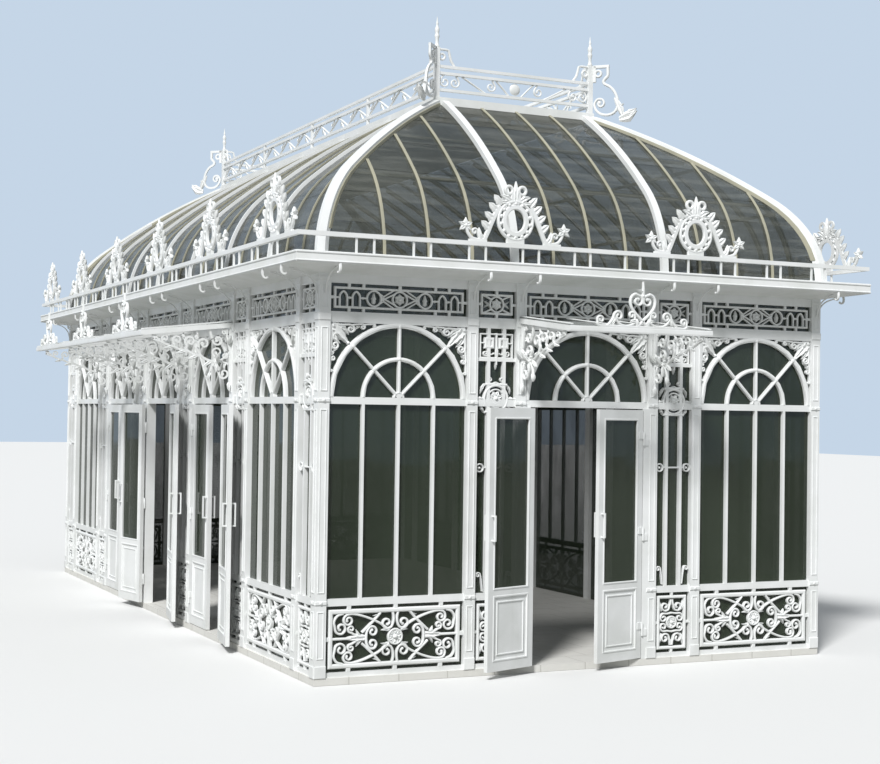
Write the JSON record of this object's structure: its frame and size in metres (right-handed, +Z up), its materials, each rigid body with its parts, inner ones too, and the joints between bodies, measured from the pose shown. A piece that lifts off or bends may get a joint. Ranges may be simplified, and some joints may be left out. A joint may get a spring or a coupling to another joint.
{
  "type": "glass greenhouse",
  "caption": "Ornate iron and glass greenhouse with arched windows, hinged double doors, a curved hipped glass roof and a railed ridge platform.",
  "frame": {"origin": "middle of the floor slab's underside, at ground level under the plan centre", "axes": "+Z up, -Y faces the short front with one doorway, -X faces the long side with three doorways"},
  "size_m": [6.33, 10.93, 6.0376],
  "materials": {
    "white_iron": "satin white paint on iron",
    "eave_paint": "satin white paint on the eave boards",
    "clear_glass": "clear glazing",
    "floor_stone": "pale cast floor slab"
  },
  "bodies": {
    "house": {"back_glass": "clear_glass", "back_wall": "white_iron", "canopy_crests": "white_iron", "eave_crests": "white_iron", "eave_ends": "eave_paint", "eave_railing_ends": "white_iron", "eave_railing_sides": "white_iron", "eave_sides": "eave_paint", "floor_slab": "floor_stone", "front_canopy_brackets": "white_iron", "front_canopy_frame": "white_iron", "front_canopy_glass": "clear_glass", "front_door_head": "white_iron", "front_glass": "clear_glass", "front_wall_left": "white_iron", "front_wall_right": "white_iron", "left_door_heads": "white_iron", "left_door_piers": "white_iron", "left_glass": "clear_glass", "left_wall_front": "white_iron", "left_wall_rear": "white_iron", "ridge_finials": "white_iron", "ridge_platform": "white_iron", "ridge_railing_ends": "white_iron", "ridge_railing_sides": "white_iron", "ridge_scrolls": "white_iron", "right_glass": "clear_glass", "right_wall": "white_iron", "roof_glass_ends": "clear_glass", "roof_glass_sides": "clear_glass", "roof_hips": "white_iron", "roof_ribs": "white_iron", "roof_side_ribs": "white_iron", "side_canopy_brackets": "white_iron", "side_canopy_frame": "white_iron", "side_canopy_glass": "clear_glass"},
    "front_door_left": {"front_door_left_frame": "white_iron", "front_door_left_glass": "clear_glass"},
    "front_door_right": {"front_door_right_frame": "white_iron", "front_door_right_glass": "clear_glass"},
    "side_door_1_near": {"side_door_1_near_frame": "white_iron", "side_door_1_near_glass": "clear_glass"},
    "side_door_1_far": {"side_door_1_far_frame": "white_iron", "side_door_1_far_glass": "clear_glass"},
    "side_door_2_near": {"side_door_2_near_frame": "white_iron", "side_door_2_near_glass": "clear_glass"},
    "side_door_2_far": {"side_door_2_far_frame": "white_iron", "side_door_2_far_glass": "clear_glass"},
    "side_door_3_near": {"side_door_3_near_frame": "white_iron", "side_door_3_near_glass": "clear_glass"},
    "side_door_3_far": {"side_door_3_far_frame": "white_iron", "side_door_3_far_glass": "clear_glass"}
  },
  "joints": [
    {"name": "front_door_left_hinge", "type": "hinge", "parent": "house", "child": "front_door_left", "pos_m": [-0.58, -4.87, 1.25], "axis": [0, 0, 1], "range_deg": [-10, 160]},
    {"name": "front_door_right_hinge", "type": "hinge", "parent": "house", "child": "front_door_right", "pos_m": [0.58, -4.87, 1.25], "axis": [0, 0, 1], "range_deg": [-16, 154]},
    {"name": "side_door_1_near_hinge", "type": "hinge", "parent": "house", "child": "side_door_1_near", "pos_m": [-2.57, -2.41, 1.25], "axis": [0, 0, 1], "range_deg": [-170, 0]},
    {"name": "side_door_1_far_hinge", "type": "hinge", "parent": "house", "child": "side_door_1_far", "pos_m": [-2.57, -1.25, 1.25], "axis": [0, 0, 1], "range_deg": [-100, 0]},
    {"name": "side_door_2_near_hinge", "type": "hinge", "parent": "house", "child": "side_door_2_near", "pos_m": [-2.57, -0.58, 1.25], "axis": [0, 0, 1], "range_deg": [-170, 0]},
    {"name": "side_door_2_far_hinge", "type": "hinge", "parent": "house", "child": "side_door_2_far", "pos_m": [-2.57, 0.58, 1.25], "axis": [0, 0, 1], "range_deg": [0, 170]},
    {"name": "side_door_3_near_hinge", "type": "hinge", "parent": "house", "child": "side_door_3_near", "pos_m": [-2.57, 1.25, 1.25], "axis": [0, 0, 1], "range_deg": [0, 100]},
    {"name": "side_door_3_far_hinge", "type": "hinge", "parent": "house", "child": "side_door_3_far", "pos_m": [-2.57, 2.41, 1.25], "axis": [0, 0, 1], "range_deg": [-170, 0]}
  ]
}
